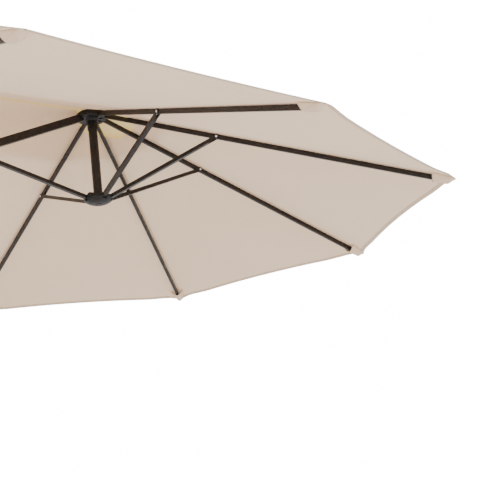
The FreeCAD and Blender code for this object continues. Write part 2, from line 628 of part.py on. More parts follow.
def export_base():
    half = BAR_WIDTH / 2
    low_z, high_z = BAR_Z
    export("cross_bar_long", bar_tube((-BAR_HALF, -half, low_z), (BAR_HALF, half, high_z), 0))
    export("cross_bar_halves", bar_tube((-half, half, low_z), (half, BAR_HALF, high_z), 1),
           bar_tube((-half, -BAR_HALF, low_z), (half, -half, high_z), 1))
    tabs = [Part.makeCylinder(70, low_z)]
    for turn in (0, 90, 180, 270):
        tab = block((TAB_START, -half, 0), (TAB_END, half, low_z))
        tab = tab.makeFillet(14, [e for e in tab.Edges if e.BoundBox.XMin > TAB_END - 0.1
                                  and e.BoundBox.ZLength > low_z - 0.1])
        tab = tab.cut(Part.makeCylinder(ANCHOR_HOLE_R, 3 * low_z, vec(ANCHOR_R, 0, -low_z)))
        tab.rotate(ORIGIN, Z_AXIS, turn)
        tabs.append(tab)
    export("anchor_feet", *tabs)
    flange = Part.makeCylinder(FLANGE_R, FLANGE_THICK, vec(0, 0, high_z))
    sleeve = ring(SOCKET_R, TUBE_R, high_z + FLANGE_THICK, SOCKET_TOP)
    export("mast_flange", flange.fuse(sleeve).removeSplitter())
    weights = []
    for turn in (0, 90, 180, 270):
        weight = block((WEIGHT_INNER, WEIGHT_INNER, high_z),
                       (WEIGHT_OUTER, WEIGHT_OUTER, high_z + WEIGHT_HEIGHT))
        weight = rounded(weight, 30.0, Z_AXIS)
        top_edges = [e for e in weight.Edges if e.BoundBox.ZMin > high_z + WEIGHT_HEIGHT - 1]
        weight = weight.makeFillet(10, top_edges)
        weight = weight.cut(Part.makeCylinder(FLANGE_R + WEIGHT_GAP, 300, vec(0, 0, high_z - 1)))
        weight.rotate(ORIGIN, Z_AXIS, turn)
        weights.append(weight)
    export("base_weights", *weights)


os.makedirs("parts", exist_ok=True)
export_ribs()
export_centre(export_heads())
export_canopy()
export_mast()
export_crank()
export_base()
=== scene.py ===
import json
import math

import bmesh
import bpy
from mathutils import Matrix, Vector


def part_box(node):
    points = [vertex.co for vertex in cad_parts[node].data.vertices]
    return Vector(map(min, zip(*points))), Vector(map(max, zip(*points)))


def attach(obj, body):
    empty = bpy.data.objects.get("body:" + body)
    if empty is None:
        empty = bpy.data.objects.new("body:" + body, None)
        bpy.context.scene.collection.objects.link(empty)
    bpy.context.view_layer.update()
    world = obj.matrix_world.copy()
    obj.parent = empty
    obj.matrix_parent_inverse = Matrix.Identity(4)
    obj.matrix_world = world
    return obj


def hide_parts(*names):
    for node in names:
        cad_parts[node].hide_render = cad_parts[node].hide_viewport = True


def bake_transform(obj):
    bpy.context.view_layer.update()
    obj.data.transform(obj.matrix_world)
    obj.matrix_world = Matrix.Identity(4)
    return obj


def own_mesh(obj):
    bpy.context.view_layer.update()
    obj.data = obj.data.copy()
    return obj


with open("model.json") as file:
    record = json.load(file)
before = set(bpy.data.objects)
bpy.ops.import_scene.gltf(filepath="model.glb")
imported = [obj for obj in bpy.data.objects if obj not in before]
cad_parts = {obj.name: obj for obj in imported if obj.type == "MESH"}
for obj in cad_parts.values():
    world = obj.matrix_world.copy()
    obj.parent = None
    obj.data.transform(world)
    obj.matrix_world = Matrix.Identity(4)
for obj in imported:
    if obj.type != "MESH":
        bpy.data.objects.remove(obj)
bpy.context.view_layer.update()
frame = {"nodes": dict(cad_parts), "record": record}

# A twin-head cantilever parasol: sewn cloth, fittings, materials, light and camera round the CAD frame.
# Metres. "Near" is the -Y side of the ridge and "far" is +Y; a turn is an angle from +X, in degrees.

# ------------------------------------------------------------------ places read from the frame
JOINTS = {j["name"]: j for j in frame["record"]["behaviour"]["joints"]}
SLOT_OF = {s["node"]: s["material_slot"] for s in frame["record"]["subparts"]}


def pivot(joint):
    return Vector(JOINTS[joint]["pos_m"])


def slope_of(rib_joint, strut_joint):
    """Slope of a rib at rest, from its pivot to its strut's joint."""
    run = pivot(strut_joint) - pivot(rib_joint)
    return -run.z / math.hypot(run.x, run.y)


RIDGE_Y = pivot("rib_right_end_fold").y
HEAD_X = pivot("rib_right_near_fold").x
HUB_Z = pivot("canopy_fold").z
PIVOT_R = abs(pivot("rib_right_near_fold").y - RIDGE_Y)
HEAD_SLOPE = slope_of("rib_right_end_fold", "strut_right_end_swing")
CENTRE_SLOPE = slope_of("canopy_fold", "strut_centre_near_swing")
HEAD_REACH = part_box("canopy_right_end")[1].x - HEAD_X
CENTRE_REACH = RIDGE_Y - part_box("canopy_near_panel")[0].y

# ------------------------------------------------------------------ sizes of the cloth
CLOTH_RISE = 0.01125      # cloth above a rib's centre line
VENT_R = 0.112            # round opening over each head
VENT_SHIFT = 0.062        # its middle lies this far beyond the head
VENT_DROOP = 0.014        # the slack cloth at a vent's edge, between the ribs
POST_OPENING_R = 0.075    # round opening over the centre hub
RIDGE_GAP = 0.008         # half the slit along the ridge
SCALLOP = 0.026           # how far a head gore's hem bows inwards
MIDDLE_SCALLOP = 0.020    # and a hem beside a centre rib
SAG = 0.013               # drop of the cloth between two ribs
CAP_R = 0.30              # the raised cap's half width
CAP_LIFT = 0.015
CAP_SAG = 0.002
CAP_SCALLOP = 0.010
CAP_POST_R = 0.026        # round opening where the centre post passes through the cap
CAP_DISC_R = 0.070        # the middle of each cap end stays with its hub
CAP_OVERLAP = 0.003       # how far that middle reaches over the rest
CAP_DISC_LIFT = 0.0008
CAP_DISC_BULGE = 0.0055   # makes its outline round, not eight-sided
CAP_DISC_UV = (0.05, 0.08)
HEM_WIDTH = 0.016
HEM_THICK = 0.0022
HEM_UV_STEP = 0.006       # UV length of each facet of the hem, so its stitches run along the middle
TAPE_HALF = 0.017         # half the width of the felled seam over a rib
TAPE_GAP = 0.0009         # between the seam's strip and the cloth
TAPE_EDGE_GAP = 0.0002    # and at the strip's outer edge
CROWN_HALF = 0.042        # the seam keeps the cloth level this far to each side of a rib
POCKET_LENGTH = 0.088
POCKET_CLOTH = 0.0016
POCKET_MOUTH_HALF = 0.033
POCKET_CORNER_HALF = 0.009
RIB_TIP = 0.037           # a rib's cap ends this far from its corner
RIB_UNDER = 0.0205        # a rib's underside below the cloth
POCKET_SWELL = RIB_TIP - 0.006
POCKET_DEPTH = RIB_UNDER + 0.004
POCKET_CORNER_DEPTH = 0.0025
POCKET_DIP = 0.010        # how far the middle of a pocket's mouth is cut back
POCKET_GAP = 0.0012       # between a pocket's edges and the cloth
TAPE_SHORT = POCKET_LENGTH - 0.01
STEP_ANGLE = 45.0         # between a head's ribs
SIDES = (("right", 1), ("left", -1))
HEAD_RIBS = (("far", 90), ("far_corner", 45), ("end", 0), ("near_corner", -45), ("near", -90))


def flat_direction(turn):
    return Vector((math.cos(math.radians(turn)), math.sin(math.radians(turn)), 0))


def cloth_top(slope, lift=0.0):
    """Height over a hub's axis at which its rib lines meet."""
    return HUB_Z + PIVOT_R * slope + CLOTH_RISE * math.hypot(1, slope) + lift


def mix(a, b, share):
    return a + (b - a) * share


def sag(u, w, depth):
    """Height that the cloth's hang adds to a straight thread: none at the ribs, -depth in mid-gore."""
    return -depth * math.sin(math.pi * w) ** 2 * math.sin(math.pi * min(u, 1.0) ** 0.8)


def vent_reach(turn, head_x):
    """From a head's axis to the edge of its vent, in one direction."""
    away = turn if head_x > 0 else 180 - turn
    across = VENT_SHIFT * math.sin(math.radians(away))
    return VENT_SHIFT * math.cos(math.radians(away)) + math.sqrt(VENT_R ** 2 - across ** 2)


def crown(across):
    """How far the stiff seam holds the cloth up beside a rib, above the flat of the gore."""
    level = math.tan(math.radians(STEP_ANGLE / 2)) * HEAD_SLOPE
    fade = min(1.0, max(0.0, (across - CROWN_HALF) / (3 * CROWN_HALF)))
    return level * min(across, CROWN_HALF) * (1 - fade * fade * (3 - 2 * fade))


def gore(head_x, turn_a, turn_b, inner_r=None, reach=HEAD_REACH, scallop=SCALLOP, lift=0.0, depth=SAG):
    """The cloth between two of a head's ribs: point(u, w), u from inner edge to hem, w from rib to rib.

    The inner edge is a circle of inner_r, or the edge of the vent.
    """
    hub_point = Vector((head_x, RIDGE_Y, 0))
    middle = flat_direction((turn_a + turn_b) / 2)
    half = math.radians(abs(turn_b - turn_a) / 2)
    corner_a = flat_direction(turn_a) * reach
    corner_b = flat_direction(turn_b) * reach

    def point(u, w):
        hem = corner_a.lerp(corner_b, w) - middle * (scallop * 4 * w * (1 - w))
        turn = mix(turn_a, turn_b, w)
        start = flat_direction(turn) * (vent_reach(turn, head_x) if inner_r is None else inner_r)
        here = start.lerp(hem, u)
        z = cloth_top(HEAD_SLOPE, lift) - here.dot(middle) / math.cos(half) * HEAD_SLOPE
        if inner_r is None:
            across = abs(here.cross(flat_direction(turn_a if w < 0.5 else turn_b)).z)
            z += crown(across) - VENT_DROOP * math.sin(math.pi * w) ** 2 * max(0, 1 - u * 7) ** 2
        return hub_point + here + Vector((0, 0, z + sag(u, w, depth)))

    return point


def middle_gore(side, way, hole_r=VENT_R, post_r=POST_OPENING_R, gap=RIDGE_GAP, reaches=None,
                scallop=MIDDLE_SCALLOP, lift=0.0, depth=SAG):
    """The cloth from a head's rib, w = 0, to the centre rib, w = 1, on the side of the ridge given by way."""
    head_reach, centre_reach = reaches or (HEAD_REACH, CENTRE_REACH)

    def point(u, w):
        along = HEAD_X * (1 - w)
        inner = gap
        from_vent = HEAD_X + VENT_SHIFT - along
        if from_vent < hole_r:
            inner = max(inner, math.sqrt(hole_r ** 2 - from_vent ** 2))
        if along < post_r:
            inner = max(inner, math.sqrt(post_r ** 2 - along ** 2))
        outer = mix(head_reach, centre_reach, w) - scallop * 4 * w * (1 - w)
        out = mix(inner, outer, u)
        slope = mix(HEAD_SLOPE, CENTRE_SLOPE, w)
        top = mix(cloth_top(HEAD_SLOPE, lift), cloth_top(CENTRE_SLOPE, lift), w)
        return Vector((side * along, RIDGE_Y + way * out, top - out * slope + sag(u, w, depth)))

    return point


# ------------------------------------------------------------------ mesh helpers
def new_object(name, mesh, material, smooth=True):
    piece = bpy.data.objects.new(name, mesh)
    bpy.context.scene.collection.objects.link(piece)
    mesh.materials.append(material)
    for face in mesh.polygons:
        face.use_smooth = smooth
    return piece


def grids(name, patches, material, merge=2e-5):
    """One mesh from patches, each a grid of (point, (u, v)) rows. Shared borders are merged.

    Where a row shrinks to one point, the faces are triangles.
    """
    bm = bmesh.new()
    layer = bm.loops.layers.uv.new("UVMap")
    for rows in patches:
        verts = [[bm.verts.new(p) for p, _ in row] for row in rows]
        for i in range(len(rows) - 1):
            for j in range(len(rows[0]) - 1):
                corners = ((i, j), (i + 1, j), (i + 1, j + 1), (i, j + 1))
                apart = {}
                for a, b in corners:
                    apart.setdefault(tuple(round(c, 6) for c in verts[a][b].co), (a, b))
                face = bm.faces.new([verts[a][b] for a, b in apart.values()])
                for loop, (a, b) in zip(face.loops, apart.values()):
                    loop[layer].uv = rows[a][b][1]
    bmesh.ops.remove_doubles(bm, verts=bm.verts, dist=merge)
    bmesh.ops.recalc_face_normals(bm, faces=bm.faces)
    up = sum(f.normal.z * f.calc_area() for f in bm.faces)
    if up < 0:
        bmesh.ops.reverse_faces(bm, faces=bm.faces)
    mesh = bpy.data.meshes.new(name)
    bm.to_mesh(mesh)
    bm.free()
    return new_object(name, mesh, material)


def spread(low, high, count):
    return [mix(low, high, i / count) for i in range(count + 1)]


def sheet_rows(point, w_low, w_high, width, length, across=16, down=26):
    """A panel's grid; its UVs are metres along the weave."""
    return [[(point(u, w), (w * width, u * length)) for w in spread(w_low, w_high, across)]
            for u in spread(0, 1, down)]


def surface_normal(point, u, w):
    e = 1e-3
    du = point(min(u + e, 1), w) - point(min(u + e, 1) - e, w)
    dw = point(u, min(w + e, 1)) - point(u, min(w + e, 1) - e)
    n = du.cross(dw).normalized()
    return n if n.z > 0 else -n


def hem_rows(point, w_low, w_high, width, across=20):
    """A flattened tube folded round the edge at u = 1."""
    rows = []
    half = HEM_THICK / 2
    above = [(0.0007, half), (-0.002, half * 1.1), (-HEM_WIDTH, half)]
    below = [(a, -b) for a, b in reversed(above)]
    outline = [(0.0011, 0.0), *above, (-HEM_WIDTH - 0.0006, 0.0), *below, (0.0011, 0.0)]
    for w in spread(w_low, w_high, across):
        edge = point(1, w)
        outward = (point(1, w) - point(0.98, w)).normalized()
        normal = surface_normal(point, 1, w)
        tangent = (point(1, min(w + 1e-3, 1)) - point(1, min(w + 1e-3, 1) - 1e-3)).normalized()
        out = (outward - tangent * outward.dot(tangent)).normalized()
        rows.append([(edge + out * a + normal * b, (w * width, k * HEM_UV_STEP))
                     for k, (a, b) in enumerate(outline)])
    return rows


def tape_rows(point, at_b, u_low, u_high, width, length, down=24):
    """The felled seam beside the rib at w = 0, or at w = 1 if at_b: a thin strip under the cloth."""
    rows = []
    for u in spread(u_low, u_high, down):
        row = []
        for k, t in enumerate((0.0, 0.5, 1.0)):
            start = point(u, 1 if at_b else 0)
            side = (point(u, 0.98 if at_b else 0.02) - start).normalized()
            normal = surface_normal(point, u, 0.99 if at_b else 0.01)
            fall = TAPE_GAP if t < 1 else TAPE_EDGE_GAP
            row.append((start + side * TAPE_HALF * t - normal * fall, (k * TAPE_HALF / 2, u * length)))
        rows.append(row)
    return rows


def pocket_rows(corner, inward, across, normal):
    """A pouch sewn under a corner, over the rib's tip. Its mouth faces the hub."""
    rows = []
    for s in spread(0.0, 1.0, 14):
        from_corner = s * POCKET_LENGTH
        half_width = mix(POCKET_CORNER_HALF, POCKET_MOUTH_HALF, s ** 0.8)
        swell = min(1.0, from_corner / POCKET_SWELL)
        depth = mix(POCKET_CORNER_DEPTH, POCKET_DEPTH, swell * swell * (3 - 2 * swell))
        row = []
        for t in spread(-1.0, 1.0, 16):
            bulge = (1 - abs(t) ** 2.6) ** 1.3
            slant = POCKET_DIP * (1 - abs(t)) * s
            at = corner + inward * (from_corner - slant) + across * (half_width * t)
            row.append((at - normal * (POCKET_GAP + depth * bulge), (half_width * t, from_corner)))
        rows.append(row)
    return rows


# ------------------------------------------------------------------ materials
CLOTH = (0.835, 0.636, 0.456)
CLOTH_GLOW = (1.0, 0.93, 0.84)     # tint of the light that comes through
CAP_CLOTH = (0.80, 0.645, 0.44)
CAP_GLOW = (1.0, 0.87, 0.42)
PAINT = (0.0122, 0.0095, 0.0094)
HUB = (0.0070, 0.0064, 0.0068)
STEEL = (0.72, 0.71, 0.70)
GRIP = (0.022, 0.022, 0.024)
WEIGHT = (0.035, 0.033, 0.032)
STITCH_LENGTH = 0.0042


def node(tree, kind, inputs=(), **settings):
    made = tree.nodes.new(kind)
    for key, value in settings.items():
        setattr(made, key, value)
    for key, value in dict(inputs).items():
        if hasattr(value, "is_output"):
            tree.links.new(value, made.inputs[key])
        else:
            made.inputs[key].default_value = value
    return made


def ramp(tree, factor, stops):
    made = node(tree, "ShaderNodeValToRGB", {"Fac": factor})
    elements = made.color_ramp.elements
    while len(elements) < len(stops):
        elements.new(0.5)
    for element, (at, colour) in zip(elements, stops):
        element.position = at
        element.color = (*colour, 1)
    return made.outputs["Color"]


def scaled(colour, k):
    return tuple(min(1.0, c * k) for c in colour)


def material(name):
    made = bpy.data.materials.new(name)
    made.use_nodes = True
    made.node_tree.nodes.clear()
    return made, made.node_tree


def finish_material(tree, shader):
    node(tree, "ShaderNodeOutputMaterial", {"Surface": shader})


def noise(tree, vector, scale, detail=4.0, rough=0.55):
    return node(tree, "ShaderNodeTexNoise", {
        "Vector": vector, "Scale": scale, "Detail": detail, "Roughness": rough}).outputs["Fac"]


def maths(tree, operation, a, b=0.0):
    return node(tree, "ShaderNodeMath", {0: a, 1: b}, operation=operation).outputs[0]


def bumps(tree, height, strength, distance):
    return node(tree, "ShaderNodeBump", {
        "Height": height, "Strength": strength, "Distance": distance}).outputs["Normal"]


def threads(tree, uv, direction):
    return node(tree, "ShaderNodeTexWave", {
        "Vector": uv, "Scale": 320.0, "Distortion": 0.6, "Detail": 1.0, "Detail Scale": 3.0},
        bands_direction=direction).outputs["Fac"]


def stitches(tree, uv, gap, across):
    """Dashes in rows, which are gap metres apart along the UV axis that across names."""
    parts = node(tree, "ShaderNodeSeparateXYZ", {"Vector": uv}).outputs
    along = "Y" if across == "X" else "X"
    from_row = maths(tree, "FRACT", maths(tree, "DIVIDE", parts[across], gap))
    row = maths(tree, "LESS_THAN", maths(tree, "ABSOLUTE", maths(tree, "SUBTRACT", from_row, 0.5)), 0.09)
    from_dash = maths(tree, "FRACT", maths(tree, "DIVIDE", parts[along], STITCH_LENGTH))
    return maths(tree, "MULTIPLY", row, maths(tree, "LESS_THAN", from_dash, 0.68))


def cloth_material(name, colour, glow, through, stitch_gap=None, stitch_across="X"):
    """Woven polyester: a fine plain weave, uneven dye, stitches on the sewn edges, some light through it."""
    made, tree = material(name)
    place = node(tree, "ShaderNodeTexCoord")
    uv = place.outputs["UV"]
    spot = place.outputs["Object"]
    broad = noise(tree, spot, 1.7, 3.0)
    fine = noise(tree, spot, 55.0, 5.0)
    tone = maths(tree, "ADD", maths(tree, "MULTIPLY", broad, 0.7), maths(tree, "MULTIPLY", fine, 0.3))
    hue = ramp(tree, tone, [(0.30, scaled(colour, 0.955)), (0.50, colour), (0.72, scaled(colour, 1.035))])
    weave = maths(tree, "MULTIPLY", threads(tree, uv, "X"), threads(tree, uv, "Y"))
    height = maths(tree, "ADD", weave, maths(tree, "MULTIPLY", fine, 0.5))
    thread = ramp(tree, weave, [(0.0, (0.93, 0.93, 0.93)), (0.6, (1, 1, 1))])
    colour_out = node(tree, "ShaderNodeMix", {"Factor": 0.8, 6: hue, 7: thread},
                      data_type="RGBA", blend_type="MULTIPLY").outputs[2]
    if stitch_gap:
        stitch = stitches(tree, uv, stitch_gap, stitch_across)
        darker = (*scaled(colour, 0.72), 1)
        colour_out = node(tree, "ShaderNodeMix", {
            "Factor": maths(tree, "MULTIPLY", stitch, 0.35), 6: colour_out, 7: darker},
            data_type="RGBA").outputs[2]
        height = maths(tree, "ADD", height, maths(tree, "MULTIPLY", stitch, 1.6))
    bump = bumps(tree, height, 0.22, 0.0004)
    front = node(tree, "ShaderNodeBsdfPrincipled", {
        "Base Color": colour_out, "Roughness": 0.86, "Normal": bump, "Sheen Weight": 0.18,
        "Sheen Roughness": 0.5, "Specular IOR Level": 0.22}).outputs[0]
    tinted = node(tree, "ShaderNodeMix", {"Factor": 1.0, 6: colour_out, 7: (*glow, 1)},
                  data_type="RGBA", blend_type="MULTIPLY").outputs[2]
    back = node(tree, "ShaderNodeBsdfTranslucent", {"Color": tinted, "Normal": bump}).outputs[0]
    finish_material(tree, node(tree, "ShaderNodeMixShader", {"Fac": through, 1: front, 2: back}).outputs[0])
    return made


def coat_material(name, colour, metallic, roughness, grain, bump_size, coat=0.0, scuff=0.0, shine=0.5):
    """Paint, plastic or bare metal: uneven tone, a fine surface texture and slightly varied gloss."""
    made, tree = material(name)
    place = node(tree, "ShaderNodeTexCoord").outputs["Object"]
    broad = noise(tree, place, 9.0, 4.0)
    fine = noise(tree, place, grain, 6.0, 0.6)
    tone = maths(tree, "ADD", maths(tree, "MULTIPLY", broad, 0.55), maths(tree, "MULTIPLY", fine, 0.45))
    hue = ramp(tree, tone, [(0.32, scaled(colour, 0.80)), (0.5, colour), (0.70, scaled(colour, 1.18))])
    if scuff:
        rubbed = ramp(tree, noise(tree, place, 34.0, 8.0, 0.7), [(0.66, (0, 0, 0)), (0.74, (1, 1, 1))])
        paler = (*scaled(colour, 1.9), 1)
        hue = node(tree, "ShaderNodeMix", {
            "Factor": maths(tree, "MULTIPLY", rubbed, scuff), 6: hue, 7: paler}, data_type="RGBA").outputs[2]
    rough = node(tree, "ShaderNodeMapRange", {
        "Value": fine, 1: 0.3, 2: 0.7, 3: roughness - 0.07, 4: roughness + 0.09}).outputs[0]
    bump = bumps(tree, fine, 0.25, bump_size)
    finish_material(tree, node(tree, "ShaderNodeBsdfPrincipled", {
        "Base Color": hue, "Metallic": metallic, "Roughness": rough, "Coat Weight": coat,
        "Coat Roughness": 0.25, "Specular IOR Level": shine, "Normal": bump}).outputs[0])
    return made


cloth = cloth_material("canopy_cloth", CLOTH, CLOTH_GLOW, 0.24)
hem_cloth = cloth_material("hem_cloth", scaled(CLOTH, 0.90), CLOTH_GLOW, 0.12, 2 * HEM_UV_STEP, "Y")
tape_cloth = cloth_material("seam_cloth", scaled(CLOTH, 0.97), CLOTH_GLOW, 0.18, TAPE_HALF / 2)
pocket_cloth = cloth_material("pocket_cloth", scaled(CLOTH, 1.02), CLOTH_GLOW, 0.12, POCKET_MOUTH_HALF / 3)
cap_cloth = cloth_material("cap_cloth", CAP_CLOTH, CAP_GLOW, 0.52)
frame_paint = coat_material("frame_paint", PAINT, 0.25, 0.40, 420.0, 0.00015, 0.04, 0.10, 0.36)
hub_plastic = coat_material("hub_plastic", HUB, 0.0, 0.48, 700.0, 0.0001, shine=0.26)
pin_steel = coat_material("pin_steel", STEEL, 1.0, 0.24, 900.0, 0.00005)
grip_plastic = coat_material("grip_plastic", GRIP, 0.0, 0.55, 1100.0, 0.0002)
weight_plastic = coat_material("weight_plastic", WEIGHT, 0.0, 0.58, 260.0, 0.0005, scuff=0.18)
CAD_MATERIALS = {
    "frame_paint": frame_paint, "frame_aluminium": frame_paint, "hub_plastic": hub_plastic,
    "pin_steel": pin_steel, "spigot_steel": pin_steel, "grip_plastic": grip_plastic,
    "weight_plastic": weight_plastic, "canopy_cloth": cloth, "vent_cloth": cap_cloth}


def dress_cad_nodes():
    for name, piece in frame["nodes"].items():
        finish_of = CAD_MATERIALS[SLOT_OF[name]]
        for place in piece.material_slots:
            place.material = finish_of
        if not piece.material_slots:
            piece.data.materials.append(finish_of)


# ------------------------------------------------------------------ canopy
def turn_of(side, angle):
    """Mirrors a rib's angle for the left-hand head."""
    return angle if side > 0 else 180 - angle


def neighbours(side, angle):
    """Turns of the ribs on either side of one of a head's ribs."""
    return [turn_of(side, other) for other in (angle + STEP_ANGLE, angle - STEP_ANGLE) if abs(other) <= 90]


def fold_joint(body):
    return "canopy_fold" if body == "rib_centre_near" else body + "_fold"


def gather(pieces, body):
    """The pieces ride on their rib."""
    joint = fold_joint(body)
    for piece in pieces:
        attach(piece, body)
        tuple(pivot(joint))
        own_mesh(piece)


def middle_cut(reaches, scallop, gap, post_r, hole_r=0.0):
    """Flat area of the cloth on one side of the ridge, from head to head."""
    plan = HEAD_X * (sum(reaches) / 2 - scallop * 2 / 3 - gap) - math.pi * post_r ** 2 / 4
    if hole_r:
        beyond = math.acos(VENT_SHIFT / hole_r)
        plan -= hole_r ** 2 * (beyond - math.sin(beyond) * math.cos(beyond)) / 2
    return 2 * plan * math.hypot(1, (HEAD_SLOPE + CENTRE_SLOPE) / 2)


def head_pieces(side_name, side):
    """The cloth over one head: five pieces, each on its rib, meeting halfway between the ribs.

    The first and last have one side only, since the middle sheets take over at their ribs.
    """
    head_x = side * HEAD_X
    gore_width = 2 * HEAD_REACH * math.sin(math.radians(STEP_ANGLE / 2))
    gore_length = (HEAD_REACH - VENT_R) * math.hypot(1, HEAD_SLOPE)
    for name, angle in HEAD_RIBS:
        body = f"rib_{side_name}_{name}"
        turn = turn_of(side, angle)
        panels = [gore(head_x, turn, other) for other in neighbours(side, angle)]
        rows = [sheet_rows(p, 0, 0.5, gore_width, gore_length) for p in panels]
        sheet = grids(f"cloth_{side_name}_{name}", rows, cloth)
        hem = grids(f"hem_{side_name}_{name}", [hem_rows(p, 0, 0.5, gore_width) for p in panels], hem_cloth)
        tape_end = 1 - TAPE_SHORT / gore_length
        tape_panels = [tape_rows(p, False, 0.01, tape_end, gore_width, gore_length) for p in panels]
        tape = grids(f"seam_{side_name}_{name}", tape_panels, tape_cloth)
        gather((sheet, hem, tape), body)
        if name not in ("far", "near"):
            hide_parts(f"canopy_{side_name}_{name}")
        add_pocket(side_name + "_" + name, body, head_x, turn, HEAD_REACH, HEAD_SLOPE, True)


def middle_pieces(name, way):
    """The near or far cloth between the two heads, in one sheet over the centre rib."""
    body = f"rib_centre_{name}"
    length = (CENTRE_REACH - RIDGE_GAP) * math.hypot(1, CENTRE_SLOPE)
    panels = [middle_gore(side, way) for _, side in SIDES]
    rows = [sheet_rows(p, 0, 1, side * HEAD_X, length, across=60, down=40)
            for p, (_, side) in zip(panels, SIDES)]
    sheet = grids(f"cloth_middle_{name}", rows, cloth)
    hem = grids(f"hem_middle_{name}", [hem_rows(p, 0, 1, HEAD_X, across=40) for p in panels], hem_cloth)
    tape_end = 1 - TAPE_SHORT / length
    tapes = [tape_rows(p, True, 0.0, tape_end, HEAD_X, length) for p in panels]
    tapes += [tape_rows(p, False, 0.01, tape_end, HEAD_X, length) for p in panels]
    tape = grids(f"seam_middle_{name}", tapes, tape_cloth)
    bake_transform(sheet)
    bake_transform(tape)
    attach(hem, body)
    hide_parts(f"canopy_{name}_panel")
    cut = middle_cut((HEAD_REACH, CENTRE_REACH), MIDDLE_SCALLOP, RIDGE_GAP, POST_OPENING_R, VENT_R)
    add_pocket(f"centre_{name}", body, 0, 90 * way, CENTRE_REACH, CENTRE_SLOPE, False)


def add_pocket(name, body, head_x, turn, reach, slope, squeezed):
    """A corner's pocket, over the tip of the rib that turn and slope give."""
    out = flat_direction(turn)
    along = (out - Vector((0, 0, slope))).normalized()
    across = Vector((-out.y, out.x, 0))
    normal = along.cross(across)
    if normal.z < 0:
        normal = -normal
    corner = Vector((head_x, RIDGE_Y, cloth_top(slope))) + out * reach - Vector((0, 0, slope * reach))
    rows = pocket_rows(corner, -along, across, normal)
    piece = grids(f"pocket_{name}", [rows], pocket_cloth)
    thicken = piece.modifiers.new("Thickness", "SOLIDIFY")
    thicken.thickness = POCKET_CLOTH
    thicken.offset = 0.0
    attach(piece, body)
    if squeezed:
        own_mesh(piece)


def cap_pieces():
    """The raised cap over the ridge and the two vents."""
    cap_shape = dict(scallop=CAP_SCALLOP, lift=CAP_LIFT, depth=CAP_SAG)
    for name, way in (("near", -1), ("far", 1)):
        body = f"rib_centre_{name}"
        panels = [middle_gore(side, way, hole_r=0.0, post_r=CAP_POST_R, gap=0.0, reaches=(CAP_R, CAP_R),
                              **cap_shape) for _, side in SIDES]
        rows = [sheet_rows(p, 0, 1, side * HEAD_X, CAP_R, across=60, down=14)
                for p, (_, side) in zip(panels, SIDES)]
        sheet = grids(f"vent_cap_{name}", rows, cap_cloth)
        hem = grids(f"vent_cap_hem_{name}", [hem_rows(p, 0, 1, HEAD_X, across=40) for p in panels], hem_cloth)
        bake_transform(sheet)
        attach(hem, body)
        cut = middle_cut((CAP_R, CAP_R), CAP_SCALLOP, 0.0, CAP_POST_R)
        if way < 0:
            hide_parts("vent_cap")
    for side_name, side in SIDES:
        cap_end(side_name, side, cap_shape)


def cap_end(side_name, side, cap_shape):
    """The cap over one head: a piece on each rib, round a half disc that stays with the hub."""
    head_x = side * HEAD_X
    width = 2 * CAP_R * math.sin(math.radians(STEP_ANGLE / 2))
    disc_r = CAP_DISC_R + CAP_OVERLAP
    disc_shape = dict(inner_r=0.0, reach=disc_r, scallop=-CAP_DISC_BULGE, lift=CAP_LIFT + CAP_DISC_LIFT,
                      depth=0.0)
    discs = []
    for name, angle in HEAD_RIBS:
        body = f"rib_{side_name}_{name}"
        turn = turn_of(side, angle)
        beside = neighbours(side, angle)
        panels = [gore(head_x, turn, other, inner_r=CAP_DISC_R, reach=CAP_R, **cap_shape) for other in beside]
        discs += [gore(head_x, turn, other, **disc_shape) for other in beside]
        rows = [sheet_rows(p, 0, 0.5, width, CAP_R, across=8, down=12) for p in panels]
        sheet = grids(f"vent_cap_{side_name}_{name}", rows, cap_cloth)
        edges = [hem_rows(p, 0, 0.5, width, across=10) for p in panels]
        hem = grids(f"vent_cap_hem_{side_name}_{name}", edges, hem_cloth)
        gather((sheet, hem), body)
    rows = [sheet_rows(p, 0, 0.5, *CAP_DISC_UV, across=6, down=6) for p in discs]
    disc = grids(f"vent_cap_disc_{side_name}", rows, cap_cloth)
    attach(disc, "root")


# ------------------------------------------------------------------ small fittings
RIVET_FROM_MIDDLE = 0.0095
FLANGE_THICK = 0.008      # of the mast's flange, on top of the cross
SUNK = 0.0005             # how far a bolt sits into what it holds
DOME_SUNK = 0.0003


def lathe(name, outline, surface, place, axis=(0, 0, 1), steps=28, smooth=True):
    """A turned piece: outline is (radius, height) from the bottom middle to the top middle."""
    turn = Vector((0, 0, 1)).rotation_difference(Vector(axis)).to_matrix()
    rows = []
    for r, h in outline:
        rows.append([(Vector(place) + turn @ Vector((r * math.cos(a), r * math.sin(a), h)), (a * 0.01, h))
                     for a in spread(0, 2 * math.pi, steps)])
    return closed_grid(name, rows, surface, smooth)


def closed_grid(name, rows, surface, smooth):
    """A solid from rings of (point, (u, v)), the first and last of which are single points."""
    bm = bmesh.new()
    layer = bm.loops.layers.uv.new("UVMap")
    verts = [[bm.verts.new(p) for p, _ in row] for row in rows]
    for i in range(len(rows) - 1):
        for j in range(len(rows[0]) - 1):
            face = bm.faces.new((verts[i][j], verts[i][j + 1], verts[i + 1][j + 1], verts[i + 1][j]))
            for loop, (a, b) in zip(face.loops, ((i, j), (i, j + 1), (i + 1, j + 1), (i + 1, j))):
                loop[layer].uv = rows[a][b][1]
    bmesh.ops.remove_doubles(bm, verts=bm.verts, dist=1e-6)
    bmesh.ops.dissolve_degenerate(bm, edges=bm.edges, dist=1e-7)
    bmesh.ops.recalc_face_normals(bm, faces=bm.faces)
    mesh = bpy.data.meshes.new(name)
    bm.to_mesh(mesh)
    bm.free()
    return new_object(name, mesh, surface, smooth)


